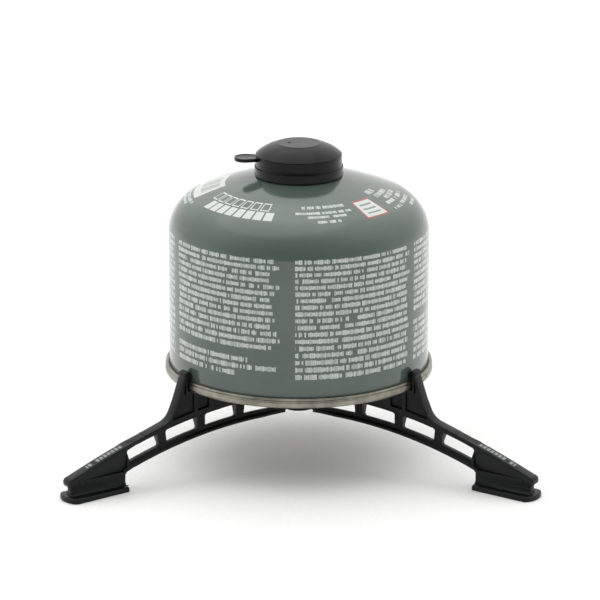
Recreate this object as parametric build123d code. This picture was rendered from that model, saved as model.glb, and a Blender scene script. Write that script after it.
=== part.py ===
"""Screw-valve gas canister, capped, clipped into a folding three-leg stand.

Millimetres, +Z up. The origin is on the canister's axis, on the ground between the feet.
The rear leg points along +Y and the two front legs point to either side of -Y.
"""
import os
from math import asin, cos, degrees, radians, sin, sqrt, tan

from build123d import *

# ---- Driving dimensions -------------------------------------------------------------------
RIM_R = 55.0              # double-seam rim, the 110 mm size that canister stands are made for
BODY_R = 53.2             # enamelled body
SEAT_Z = 36.3             # underside of the rim above the ground
RIM_H = 4.0               # height of the double seam
HOOK_R = 54.05            # outside of the body hook inside the seam
FRONT_LEG_SPREAD = 57.0   # angle of each front leg from -Y, with the stand open

SHEET = 0.45              # steel sheet of the canister
FIT = 0.35                # gap between a hook and the rim

# Leg: an arched I-beam whose flanges follow circles about one centre
ARCH_R = 198.0            # radius of the underside
ARCH_APEX = (20.0, 18.6)  # reach and height of the arch's highest point
FLANGE_HALF = 2.4         # half the width of both flanges
WEB_HALF = 1.05           # half the web's thickness at its foot
BEAM_DEPTH = 10.4         # arch to the top of the upper band
LOWER_FLANGE = 1.15       # thickness of the lower flange
WINDOW_LOW = 2.7          # windows, measured up from the arch
WINDOW_HIGH = 8.5
WINDOW_COUNT = 4
WINDOW_END = 84.0         # reach of the outermost window's outer end
WINDOW_PITCH_DEG = 5.36
WINDOW_SPAN_DEG = 4.3
WINDOW_CORNER = 1.0

# Hook
SEAT_IN = 50.7            # inner end of the seat that the rim stands on
LIP_IN = 53.75            # inner end of the lip that holds the rim down
HOOK_TOP = 44.5
POCKET_DEPTH = 1.35
SMALL_SEAT = (42.0, 46.0, 33.8)   # groove that locates the 90 mm size: inner and outer reach, floor
TOWER_IN = 24.0           # inner end of the panel that carries the hook
TOWER_BEND = (63.7, 25.25)        # where the hook's outer face turns into the beam
TOWER_BEND_R = 7.5
TOWER_OUT = (76.0, 21.4)          # where the panel runs out into the beam

# Foot
FOOT_IN = 85.0            # inner wall of the foot block
FOOT_OUT = 110.4          # outer wall of the foot block
PLATE_IN = 84.9
PLATE_OUT = 113.0
PLATE_T = 2.1
PLATE_HALF_IN = 4.9
PLATE_HALF_OUT = 6.4
WAIST_HALF = 1.5
RIDGE_Z = 7.95            # top of the lower flange where it runs along the foot

# Hub: three rings in a stack on one rivet
RING_R = 6.6
RING_T = 3.3
RING_GAP = 0.15
HUB_LOW = 19.3            # underside of the lowest ring
RIVET_R = 2.5
RIVET_PLAY = 0.05
BEAM_IN = 7.2             # reach where the beams begin, just clear of the rings
WEDGE_DEG = 7.2           # each beam stays within this angle of its centre plane near the hub
RIVET_HEAD_R = 4.2
RIVET_HEAD_T = 0.5        # the set head is low, because it is what shows from below
WASHER_R = 5.6
WASHER_T = 0.7
TALL = 60.0               # longer than any part that it cuts

# Canister, heights above the rim's underside
SHOULDER_H = 58.5         # where the straight wall ends
SHOULDER_R = 17.0
SHOULDER_SWEEP = 72.0
NECK_R = 18.9
NECK_H = 81.7
BASE_DOME_H = 12.0        # concave base: height of its middle, and the sphere that it follows
BASE_SPHERE_R = 225.0
BEAD_R = 15.4             # rolled mouth of the neck, under the cap
BEAD_H = 84.3
BEAD_WIRE = 0.9
CUP_SHEET = 0.6
CUP_FLOOR_H = 80.4
BOSS_R = 5.56             # 7/16 inch thread, major radius
BOSS_TOP_H = 92.3
BOSS_FOOT_H = 83.6
BOSS_BORE = 3.1

# Valve inside the boss
HOUSING_R = 3.0
HOUSING_LOW_H = 76.5
STEM_R = 1.25
STEM_TOP_H = 91.9
GASKET_H = (90.1, 91.2)

# Cap
CAP_LOW_H = 82.4
CAP_BAND_R = 18.1
CAP_BAND_H = 3.7
CAP_WALL_R = 17.55
CAP_EDGE_H = 91.2
CAP_TOP_H = 95.5
CAP_TOP_R = 8.8
CAP_WALL = 1.1
TAB_REACH = 26.2
TAB_HALF = 4.7
TAB_H = 88.2
TAB_T = 1.45

ARCH_CENTRE = (ARCH_APEX[0], ARCH_APEX[1] - ARCH_R)
ARCH_AXIS = Axis((ARCH_CENTRE[0], 0, ARCH_CENTRE[1]), (0, 1, 0))
SIDE = Plane.XZ           # side view of a leg: reach to the right, height up, normal -Y


# ---- Helpers ------------------------------------------------------------------------------
def arch_z(reach, above=0.0):
    """Height at this reach of the circle that runs `above` the underside of the arch."""
    radius = ARCH_R + above
    return ARCH_CENTRE[1] + sqrt(radius ** 2 - (reach - ARCH_CENTRE[0]) ** 2)


def side_plate(outline, half):
    """Plate of a side-view outline, centred on the leg's plane."""
    return extrude(SIDE * outline, half, both=True)


def outline(*points):
    """Closed outline from points, and arcs given as (middle, end) pairs of points."""
    edges = []
    here = points[0]
    for item in points[1:]:
        if isinstance(item[0], tuple):
            edges.append(ThreePointArc(here, item[0], item[1]))
            here = item[1]
        else:
            edges.append(Line(here, item))
            here = item
    if (Vector(*here) - Vector(*points[0])).length > 1e-6:
        edges.append(Line(here, points[0]))
    return make_face(Curve() + edges)


def turned(*points):
    """Body of revolution about Z from a half section of (radius, height) points."""
    return revolve(Plane.XZ * outline(*points), Axis.Z)


def raised(*points):
    """Body of revolution whose heights are given above the rim's underside."""
    def lift(item):
        if isinstance(item[0], tuple):
            return tuple(lift(point) for point in item)
        return (item[0], item[1] + SEAT_Z)
    return turned(*[lift(item) for item in points])


def rounded(start, end, falling=True):
    """Quarter-circle corner between two points, its bulge downwards."""
    radius = abs(end[0] - start[0])
    near, far = radius * (1 - cos(radians(45))), radius * sin(radians(45))
    if falling:
        return [((start[0] + near, start[1] - far), end)]
    return [start, ((start[0] + far, start[1] + near), end)]


def tube(r_in, r_out, low, high):
    """Plain ring between two heights above the rim's underside."""
    return raised((r_in, low), (r_out, low), (r_out, high), (r_in, high))


# ---- Leg, along +X --------------------------------------------------------------------------
def beam():
    """Arched I-beam, its web thinning downwards, from the hub to the foot."""
    low = ARCH_APEX[1]
    half_section = [
        (FLANGE_HALF, low), (FLANGE_HALF, low + LOWER_FLANGE), (WEB_HALF, low + LOWER_FLANGE + 0.5),
        (WEB_HALF, low + WINDOW_LOW - 0.4), (FLANGE_HALF, low + WINDOW_HIGH), (FLANGE_HALF, low + BEAM_DEPTH),
    ]
    mirrored = [(-y, z) for y, z in reversed(half_section)]
    plane = Plane(origin=(ARCH_APEX[0], 0, 0), x_dir=(0, 1, 0), z_dir=(1, 0, 0))
    section = plane * outline(*(half_section + mirrored))
    start = degrees(asin((BEAM_IN - 2.0 - ARCH_APEX[0]) / ARCH_R))
    end = degrees(asin((FOOT_IN + 1.0 - ARCH_APEX[0]) / ARCH_R))
    return revolve(section.rotate(ARCH_AXIS, start), ARCH_AXIS, revolution_arc=end - start)


def window(index):
    """Rounded opening through the web, counted inwards from the foot."""
    middle = ARCH_R + (WINDOW_LOW + WINDOW_HIGH) / 2
    outer_deg = degrees(asin((WINDOW_END - ARCH_APEX[0]) / middle)) - index * WINDOW_PITCH_DEG
    plane = Plane(origin=(ARCH_APEX[0], 0, 0), x_dir=(0, 1, 0), z_dir=(1, 0, 0))
    height = WINDOW_HIGH - WINDOW_LOW
    section = plane * Pos(0, ARCH_APEX[1] + WINDOW_LOW + height / 2) * Rectangle(4 * FLANGE_HALF, height)
    block = revolve(section.rotate(ARCH_AXIS, outer_deg - WINDOW_SPAN_DEG), ARCH_AXIS,
                    revolution_arc=WINDOW_SPAN_DEG)
    return fillet(block.edges().filter_by(Axis.Y), WINDOW_CORNER)


def hook_tower():
    """Panel above the beam, with the small-can groove, the rim seat and the hook over it."""
    wall = RIM_R + FIT
    small_in, small_out, small_z = SMALL_SEAT
    band = WINDOW_HIGH + 1.0
    face = outline(
        (TOWER_IN, arch_z(TOWER_IN, band)), (TOWER_IN, arch_z(TOWER_IN, BEAM_DEPTH)),
        (small_in - 2.0, SEAT_Z - 1.2), (small_in, SEAT_Z - 1.2), (small_in, small_z),
        (small_out, small_z), (small_out, SEAT_Z - 1.0), (SEAT_IN, SEAT_Z - 1.0), (SEAT_IN, SEAT_Z),
        (wall, SEAT_Z), (wall, SEAT_Z + RIM_H + FIT), (LIP_IN, SEAT_Z + RIM_H + FIT + 0.1),
        (LIP_IN, HOOK_TOP - 1.9), ((LIP_IN + 1.9, HOOK_TOP), (57.0, HOOK_TOP - 2.4)),
        (60.3, 32.8), TOWER_BEND, TOWER_OUT, (TOWER_OUT[0], TOWER_OUT[1] - 0.8),
        ((SEAT_IN, arch_z(SEAT_IN, band)), (TOWER_IN, arch_z(TOWER_IN, band))),
    )
    corner = face.vertices().sort_by_distance((*TOWER_BEND, 0))[0]
    face = fillet(corner, TOWER_BEND_R)
    tower = side_plate(face, FLANGE_HALF)
    pocket_outer = outline(
        (52.5, 27.3), (52.5, SEAT_Z - 1.4), (wall + 1.0, SEAT_Z - 1.4), (wall + 1.0, 39.4),
        (58.9, 32.9), (61.2, 27.6), (62.9, 25.3),
    )
    pocket_inner = outline((45.4, 28.2), (50.7, 27.5), (50.7, 32.7), (45.4, 32.7))
    for face in (pocket_outer, pocket_inner):
        for side in (1, -1):
            cutter = extrude(SIDE * face, side * 2 * FLANGE_HALF)
            inner = side_plate(face, FLANGE_HALF - POCKET_DEPTH)
            tower -= cutter - inner
    return tower


def foot():
    """Solid end of the beam, the waist under it and the plate that stands on the ground."""
    back, meet = FOOT_IN - 1.5, FOOT_IN + 0.9
    top = outline(
        (FOOT_IN, RIDGE_Z - 0.95), (FOOT_IN, arch_z(FOOT_IN, 0.5)), (back, arch_z(back, 0.5)),
        (back, arch_z(back, BEAM_DEPTH - 0.3)), (meet, arch_z(meet, BEAM_DEPTH)),
        ((98.0, 14.05), (FOOT_OUT - 0.4, 9.5)), ((FOOT_OUT + 1.5, 7.7), (FOOT_OUT + 0.7, 5.8)),
        (FOOT_OUT, 5.2), (FOOT_OUT - 1.0, RIDGE_Z - 0.95),
    )
    block = side_plate(top, FLANGE_HALF)
    high, tip = (FOOT_IN - 0.4, 16.3), (107.0, RIDGE_Z + 0.35)
    recess = outline(high, tip, (107.0, RIDGE_Z), (high[0], RIDGE_Z))
    for side in (1, -1):
        prism = extrude(SIDE * recess, side * 2 * FLANGE_HALF)
        a = Vector(high[0], -side * FLANGE_HALF, high[1])
        b = Vector(tip[0], -side * FLANGE_HALF, tip[1])
        c = Vector(high[0], -side * WEB_HALF, RIDGE_Z)
        normal = (b - a).cross(c - a)
        if normal.Y * -side < 0:
            normal = -normal
        block -= split(prism, bisect_by=Plane(origin=a, z_dir=normal), keep=Keep.TOP)
    plane = Plane(origin=(FOOT_IN, 0, 0), x_dir=(0, 1, 0), z_dir=(1, 0, 0))
    waist = extrude(plane * outline(
        (-WAIST_HALF, RIDGE_Z - 0.6), (WAIST_HALF, RIDGE_Z - 0.6), (WAIST_HALF, 4.6),
        ((WAIST_HALF + 0.35, 3.0), (WAIST_HALF + 1.4, PLATE_T - 0.2)), (-WAIST_HALF - 1.4, PLATE_T - 0.2),
        ((-WAIST_HALF - 0.35, 3.0), (-WAIST_HALF, 4.6)),
    ), FOOT_OUT - FOOT_IN)
    plate_face = outline(
        (PLATE_IN, -PLATE_HALF_IN), (PLATE_OUT - 2.2, -PLATE_HALF_OUT),
        ((PLATE_OUT, 0), (PLATE_OUT - 2.2, PLATE_HALF_OUT)), (PLATE_IN, PLATE_HALF_IN),
    )
    plate_face = fillet(plate_face.vertices().group_by(Axis.X)[-1], 2.6)
    plate_face = fillet(plate_face.vertices().group_by(Axis.X)[0], 1.0)
    plate = extrude(plate_face, PLATE_T)
    plate = chamfer(plate.faces().sort_by(Axis.Z)[-1].edges(), 0.45)
    return block + waist + plate


def leg(level):
    """One leg, whose hub ring is in this level of the stack (0 is the lowest)."""
    body = beam() + hook_tower() + foot()
    for index in range(WINDOW_COUNT):
        body -= window(index)
    body -= Pos(0, 0, HUB_LOW) * Cylinder(BEAM_IN, TALL)
    slope = tan(radians(WEDGE_DEG))
    straight = FLANGE_HALF / slope
    far, wide = PLATE_OUT + 10, PLATE_HALF_OUT + 5
    wedge = make_face(Polyline(
        (0, 0), (straight, FLANGE_HALF), (straight, wide), (far, wide), (far, -wide), (straight, -wide),
        (straight, -FLANGE_HALF), (0, 0),
    ))
    body &= extrude(wedge, TALL)
    low = HUB_LOW + level * (RING_T + RING_GAP)
    reach = BEAM_IN + 2.0
    neck = 2.0
    bottom = (Align.CENTER, Align.CENTER, Align.MIN)
    ring = Pos(0, 0, low) * Cylinder(RING_R, RING_T, align=bottom)
    link = Pos(0, 0, low) * Box(reach, 2 * reach * slope, RING_T, align=(Align.MIN, Align.CENTER, Align.MIN))
    link &= extrude(make_face(Polyline(
        (0, -neck), (0, neck), (RING_R, neck), (RING_R, RING_R * slope), (reach, reach * slope),
        (reach, -reach * slope), (RING_R, -RING_R * slope), (RING_R, -neck), (0, -neck),
    )), TALL)
    body += ring + link
    return body - Pos(0, 0, low - 1) * Cylinder(RIVET_R + RIVET_PLAY, RING_T + 2, align=bottom)


def hub_top():
    """Height of the top of the three stacked rings."""
    return HUB_LOW + 3 * RING_T + 2 * RING_GAP


def hub_rivet():
    """Rivet through the three rings, with a set head below and a formed head above the washer."""
    top = hub_top() + 0.8
    under = HUB_LOW - 0.05
    low = under - RIVET_HEAD_T
    return turned(
        (0, low), (RIVET_HEAD_R - 0.5, low), ((RIVET_HEAD_R - 0.15, low + 0.15), (RIVET_HEAD_R, under)),
        (RIVET_R, under), (RIVET_R, top), (4.2, top), ((3.6, top + 1.2), (2.2, top + 1.6)), (0, top + 1.6),
    )


def rivet_washer():
    """Washer between the top ring and the rivet's formed head."""
    low = hub_top() + 0.05
    bore = RIVET_R + RIVET_PLAY
    return turned((bore, low), (WASHER_R, low), (WASHER_R, low + WASHER_T), (bore, low + WASHER_T))


# ---- Canister -------------------------------------------------------------------------------
def shoulder_point(radius, angle):
    """Point on the shoulder's arc, at an angle up from the horizontal."""
    centre = BODY_R - SHOULDER_R
    return (centre + radius * cos(radians(angle)), SHOULDER_H + radius * sin(radians(angle)))


def canister_shell():
    """Drawn body and dome in one, from the body hook inside the seam to the rolled mouth."""
    inner = BODY_R - SHEET
    fold = HOOK_R - SHEET + 0.05
    outer_end = shoulder_point(SHOULDER_R, SHOULDER_SWEEP)
    inner_end = shoulder_point(SHOULDER_R - SHEET, SHOULDER_SWEEP)
    mid = ((outer_end[0] + NECK_R) / 2, (outer_end[1] + NECK_H) / 2 + 0.55)
    wall = raised(
        (inner, 0.9), (HOOK_R, 0.9), (HOOK_R, 2.7), (fold, 2.7), (fold, 1.35),
        (BODY_R, 1.35), (BODY_R, SHOULDER_H),
        (shoulder_point(SHOULDER_R, SHOULDER_SWEEP / 2), outer_end), (mid, (NECK_R, NECK_H)),
        (BEAD_R + 0.5, NECK_H + 0.9), (BEAD_R + 0.5, BEAD_H), (BEAD_R, BEAD_H), (BEAD_R, NECK_H + 0.5),
        (NECK_R, NECK_H - SHEET), ((mid[0], mid[1] - SHEET), inner_end),
        (shoulder_point(SHOULDER_R - SHEET, SHOULDER_SWEEP / 2), (inner, SHOULDER_H)),
    )
    bead = revolve(Plane.XZ * Pos(BEAD_R, SEAT_Z + BEAD_H) * Circle(BEAD_WIRE), Axis.Z)
    return wall + bead


def base_dome(radius, above=0.0):
    """Point of the spherical dome in the concave end, at this radius from the axis."""
    sphere = BASE_SPHERE_R + above
    return (radius, BASE_DOME_H - BASE_SPHERE_R + sqrt(sphere ** 2 - radius ** 2))


def canister_base():
    """Concave end, its edge curled round the body hook to make the rim."""
    t = SHEET
    chuck = BODY_R - SHEET - 0.1
    curl = HOOK_R + 0.1
    lip = BODY_R + 0.05
    return raised(
        base_dome(0), (base_dome(30.0), base_dome(49.0)), ((51.4, 5.6), (chuck - t, 3.6)), (chuck - t, 0.5),
        *rounded((chuck - t, 0.5), (chuck - t + 0.5, 0)),
        *rounded((RIM_R - 0.8, 0), (RIM_R, 0.8), falling=False),
        (RIM_R - 0.05, 2.55), (RIM_R - 0.55, 2.8), (RIM_R - 0.58, 2.95), (RIM_R - 0.3, 3.2),
        ((RIM_R - 0.28, 3.7), (RIM_R - 0.7, RIM_H)), (lip + 0.3, RIM_H), (lip, RIM_H - 0.35),
        (lip, 3.05), (curl, 2.9), (curl, 0.75), (chuck, 0.75), (chuck, 3.7),
        ((51.8, 6.0), base_dome(49.2, t)), (base_dome(30.0, t), base_dome(0, t)),
    )


def seam_compound():
    """Lining compound that fills the double seam between the body and its hook."""
    return tube(BODY_R + 0.04, HOOK_R - SHEET + 0.01, 1.4, 2.8)


def valve_cup():
    """Mounting cup crimped over the mouth, with a sunken floor and the threaded boss."""
    t = CUP_SHEET
    reach = BEAD_WIRE + 0.2
    out = BEAD_R + reach
    top = BEAD_H + reach
    well = BEAD_R - reach - t
    return raised(
        (out, BEAD_H - 1.1), (out + t, BEAD_H - 1.1), (out + t, BEAD_H),
        ((BEAD_R, top + t), (well, BEAD_H)), (well, CUP_FLOOR_H + t), (8.6, CUP_FLOOR_H + t),
        ((7.3, CUP_FLOOR_H + 1.3), (6.9, BOSS_FOOT_H - 0.7)), (6.6, BOSS_FOOT_H), (BOSS_R, BOSS_FOOT_H),
        (BOSS_R, BOSS_TOP_H - 0.5), (BOSS_R - 0.5, BOSS_TOP_H), (STEM_R + 0.95, BOSS_TOP_H),
        (STEM_R + 0.55, GASKET_H[1]), (BOSS_BORE, GASKET_H[1]), (BOSS_BORE, CUP_FLOOR_H - 1.0),
        (4.3, CUP_FLOOR_H - 1.0), (5.4, CUP_FLOOR_H), (well + t, CUP_FLOOR_H), (well + t, BEAD_H),
        ((BEAD_R, top), (out, BEAD_H)),
    )


def cup_gasket():
    """Thin rubber lining between the rolled mouth and the cup that is crimped over it."""
    a, b = BEAD_WIRE + 0.02, BEAD_WIRE + 0.18
    return raised((BEAD_R - b, BEAD_H), ((BEAD_R, BEAD_H + b), (BEAD_R + b, BEAD_H)), (BEAD_R + a, BEAD_H),
                  ((BEAD_R, BEAD_H + a), (BEAD_R - a, BEAD_H)))


def valve_housing():
    """Housing that holds the spring and stem, with an inlet hole in its floor."""
    wall_in = 2.15
    return raised(
        (0.8, HOUSING_LOW_H), (2.6, HOUSING_LOW_H), (3.4, HOUSING_LOW_H + 1.0), (3.4, CUP_FLOOR_H - 1.3),
        (HOUSING_R, CUP_FLOOR_H - 1.1), (HOUSING_R, GASKET_H[0]), (wall_in, GASKET_H[0]),
        (wall_in, HOUSING_LOW_H + 1.2), (0.8, HOUSING_LOW_H + 1.2),
    )


def stem_gasket():
    """Rubber ring that the stem slides through and that its collar seals against."""
    return tube(STEM_R + 0.05, HOUSING_R, GASKET_H[0] + 0.02, GASKET_H[1] - 0.02)


def valve_stem():
    """Stem that a stove's pin pushes down, with the collar that closes on the gasket."""
    low, high = GASKET_H
    return raised(
        (0, 84.2), (1.05, 84.2), (1.05, 87.6), (1.95, 87.8), (1.95, low - 0.5), (1.6, low - 0.02),
        (STEM_R, low - 0.02),
        (STEM_R, STEM_TOP_H - 0.25), (STEM_R - 0.25, STEM_TOP_H), (0.45, STEM_TOP_H), (0.45, high), (0, high),
    )


def stem_spring():
    """Closing spring between the housing's floor and the stem's collar."""
    low, high, wire = HOUSING_LOW_H + 1.5, 87.5, 0.2
    path = Helix(pitch=(high - low) / 7, height=high - low, radius=1.6)
    section = Plane(origin=path @ 0, z_dir=path % 0) * Circle(wire)
    return Pos(0, 0, SEAT_Z + low) * sweep(section, path=path, is_frenet=True)


# ---- Cap --------------------------------------------------------------------------------------
def cap():
    """Push-on cap: a deeper lower band, a conical top with a small flat, and a lift tab."""
    wall_in = CAP_WALL_R - CAP_WALL
    body = raised(
        (CAP_BAND_R - 0.75, CAP_LOW_H), (CAP_BAND_R - 0.2, CAP_LOW_H), (CAP_BAND_R, CAP_LOW_H + 0.25),
        (CAP_BAND_R, CAP_LOW_H + CAP_BAND_H - 0.25), (CAP_BAND_R - 0.2, CAP_LOW_H + CAP_BAND_H),
        (CAP_WALL_R, CAP_LOW_H + CAP_BAND_H), (CAP_WALL_R, CAP_EDGE_H - 0.5), (CAP_WALL_R - 0.5, CAP_EDGE_H),
        ((13.4, CAP_EDGE_H + 2.55), (CAP_TOP_R, CAP_TOP_H)), (0, CAP_TOP_H), (0, CAP_TOP_H - CAP_WALL),
        (CAP_TOP_R, CAP_TOP_H - CAP_WALL), ((13.0, CAP_EDGE_H + 1.55), (wall_in, CAP_EDGE_H - 0.9)),
        (wall_in, BEAD_H + 2.6), (CAP_BAND_R - 0.95, BEAD_H + 1.4), (CAP_BAND_R - 0.95, CAP_LOW_H + 0.3),
    )
    low = SEAT_Z + TAB_H
    nose = TAB_REACH - TAB_HALF
    tongue = make_face(Curve() + [
        Line((-CAP_WALL_R + 0.4, -TAB_HALF + 0.9), (-nose, -TAB_HALF)),
        ThreePointArc((-nose, -TAB_HALF), (-TAB_REACH, 0), (-nose, TAB_HALF)),
        Line((-nose, TAB_HALF), (-CAP_WALL_R + 0.4, TAB_HALF - 0.9)),
        Line((-CAP_WALL_R + 0.4, TAB_HALF - 0.9), (-CAP_WALL_R + 0.4, -TAB_HALF + 0.9)),
    ])
    tab = Pos(0, 0, low) * extrude(tongue, TAB_T)
    dish = Pos(0, 0, low + TAB_T - 0.25) * extrude(offset(tongue, -0.9), 1)
    return body + (tab - dish)


# ---- Assembly ---------------------------------------------------------------------------------
def build():
    """Every named node, in its place."""
    return {
        "leg_rear": leg(1).rotate(Axis.Z, 90),
        "leg_left": leg(2).rotate(Axis.Z, 270 - FRONT_LEG_SPREAD),
        "leg_right": leg(0).rotate(Axis.Z, 270 + FRONT_LEG_SPREAD),
        "hub_rivet": hub_rivet(),
        "rivet_washer": rivet_washer(),
        "canister_shell": canister_shell(),
        "canister_base": canister_base(),
        "seam_compound": seam_compound(),
        "valve_cup": valve_cup(),
        "cup_gasket": cup_gasket(),
        "valve_housing": valve_housing(),
        "stem_gasket": stem_gasket(),
        "valve_stem": valve_stem(),
        "stem_spring": stem_spring(),
        "cap": cap(),
    }


def main():
    """Write one STEP file for each node."""
    os.makedirs("parts", exist_ok=True)
    for name, shape in build().items():
        shape.label = name
        export_step(shape, os.path.join("parts", name + ".step"))
        size = shape.bounding_box().size
        print(f"{name:16s} {shape.volume:10.1f} mm3  {size.X:6.1f} x {size.Y:6.1f} x {size.Z:6.1f}")


main()
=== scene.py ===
"""Looks of a screw-valve gas canister, capped, clipped into a folding three-leg stand.

Metres, +Z up, with the origin on the canister's axis, on the ground between the feet.
"""
import logging
from collections.abc import Callable
from dataclasses import dataclass
from enum import Enum
from math import cos, pi, radians, sin, sqrt, tau

import bpy
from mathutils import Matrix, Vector


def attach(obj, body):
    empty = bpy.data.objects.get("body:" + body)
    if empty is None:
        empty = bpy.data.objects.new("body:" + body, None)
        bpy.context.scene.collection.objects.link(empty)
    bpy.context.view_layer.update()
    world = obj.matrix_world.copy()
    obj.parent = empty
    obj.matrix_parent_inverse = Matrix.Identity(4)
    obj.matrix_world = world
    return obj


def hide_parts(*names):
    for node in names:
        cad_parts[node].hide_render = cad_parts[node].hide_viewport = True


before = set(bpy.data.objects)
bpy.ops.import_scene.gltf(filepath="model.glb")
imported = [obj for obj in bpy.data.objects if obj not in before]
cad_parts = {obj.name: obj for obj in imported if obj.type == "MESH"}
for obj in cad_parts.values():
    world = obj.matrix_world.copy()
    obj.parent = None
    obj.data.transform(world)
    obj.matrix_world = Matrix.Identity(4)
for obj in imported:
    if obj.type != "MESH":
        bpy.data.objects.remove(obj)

LOG = logging.getLogger("canister_stand")
MM = 0.001

Point = tuple[float, float]
Socket = bpy.types.NodeSocket


# ---- Materials: shared tools ------------------------------------------------------------------
def linear(hex_colour: str) -> tuple[float, float, float, float]:
    """Turn an sRGB hex colour into the linear colour that shaders work in.

    Args:
        hex_colour: six hex digits after a #.

    Returns:
        Red, green, blue and an alpha of 1.
    """
    channels = [int(hex_colour[i:i + 2], 16) / 255 for i in (1, 3, 5)]
    red, green, blue = [c / 12.92 if c <= 0.04045 else ((c + 0.055) / 1.055) ** 2.4 for c in channels]
    return red, green, blue, 1.0


def add_node(tree: bpy.types.NodeTree, kind: str, inputs: dict | None = None,
             **settings) -> bpy.types.Node:
    """Add one node to a tree, with its settings, values and links.

    Args:
        tree: the tree that the node joins.
        kind: the node's type name.
        inputs: sockets by name or number, each with the value or output that feeds it.
        **settings: the node's own properties.

    Returns:
        The new node.
    """
    node = tree.nodes.new(kind)
    for name, value in settings.items():
        setattr(node, name, value)
    for key, value in (inputs or {}).items():
        if isinstance(value, Socket):
            tree.links.new(value, node.inputs[key])
        else:
            node.inputs[key].default_value = value
    return node


@dataclass
class Bench:
    """A material in the making: its tree, its shader and Object coordinates in millimetres."""
    material: bpy.types.Material
    tree: bpy.types.NodeTree
    shader: bpy.types.Node
    place: Socket

    @classmethod
    def begin(cls, name: str) -> "Bench":
        """Start a material.

        Args:
            name: the material's name.

        Returns:
            The bench that holds it.
        """
        material = bpy.data.materials.new(name)
        material.use_nodes = True
        tree = material.node_tree
        coords = add_node(tree, "ShaderNodeTexCoord")
        scaled = add_node(tree, "ShaderNodeVectorMath", {0: coords.outputs["Object"], "Scale": 1000.0},
                          operation="SCALE")
        return cls(material, tree, tree.nodes["Principled BSDF"], scaled.outputs[0])

    def math(self, operation: str, *values: float | Socket) -> Socket:
        """Do one sum on values or sockets, in the operation that is named, and return the answer."""
        answer = add_node(self.tree, "ShaderNodeMath", dict(enumerate(values)), operation=operation)
        return answer.outputs[0]

    def cloud(self, size: float, detail: float = 2.0,
              stretch: tuple[float, float, float] = (1, 1, 1)) -> Socket:
        """Make noise from 0 to 1.

        Args:
            size: the width of its lumps in millimetres.
            detail: octaves of finer lumps.
            stretch: how much finer the lumps are along each axis.

        Returns:
            The noise's value.
        """
        spread = add_node(self.tree, "ShaderNodeVectorMath", {0: self.place, 1: stretch},
                          operation="MULTIPLY")
        noise = add_node(self.tree, "ShaderNodeTexNoise", {
            "Vector": spread.outputs[0], "Scale": 1.0 / size, "Detail": detail, "Roughness": 0.55,
        })
        return noise.outputs["Fac"]

    def spread(self, value: Socket, low: float, high: float, span: Point = (0.3, 0.7)) -> Socket:
        """Map a value's span to a new range, and return it."""
        return add_node(self.tree, "ShaderNodeMapRange", {
            "Value": value, "From Min": span[0], "From Max": span[1], "To Min": low, "To Max": high,
        }).outputs["Result"]

    def blend(self, factor: float | Socket, first: str | Socket, second: str | Socket) -> Socket:
        """Mix two colours, each a hex colour or an output.

        Args:
            factor: how much of the second is seen.
            first: the colour at 0.
            second: the colour at 1.

        Returns:
            The mixed colour.
        """
        pair = [linear(colour) if isinstance(colour, str) else colour for colour in (first, second)]
        mix = add_node(self.tree, "ShaderNodeMix", {0: factor, 6: pair[0], 7: pair[1]}, data_type="RGBA")
        return mix.outputs[2]

    def relief(self, height: Socket, depth: float, under: Socket | None = None) -> Socket:
        """Make a bump from a height.

        Args:
            height: height from 0 to 1.
            depth: how deep it is, in millimetres.
            under: the normal that it lies on, if there is one already.

        Returns:
            The normal.
        """
        inputs = {"Height": height, "Distance": depth * MM, "Strength": 1.0}
        if under is not None:
            inputs["Normal"] = under
        return add_node(self.tree, "ShaderNodeBump", inputs).outputs["Normal"]

    def set(self, **values) -> None:
        """Set or link the shader's sockets; an underscore stands for a space."""
        for name, value in values.items():
            socket = self.shader.inputs[name.replace("_", " ")]
            if isinstance(value, Socket):
                self.tree.links.new(value, socket)
            else:
                socket.default_value = linear(value) if isinstance(value, str) else value


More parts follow.
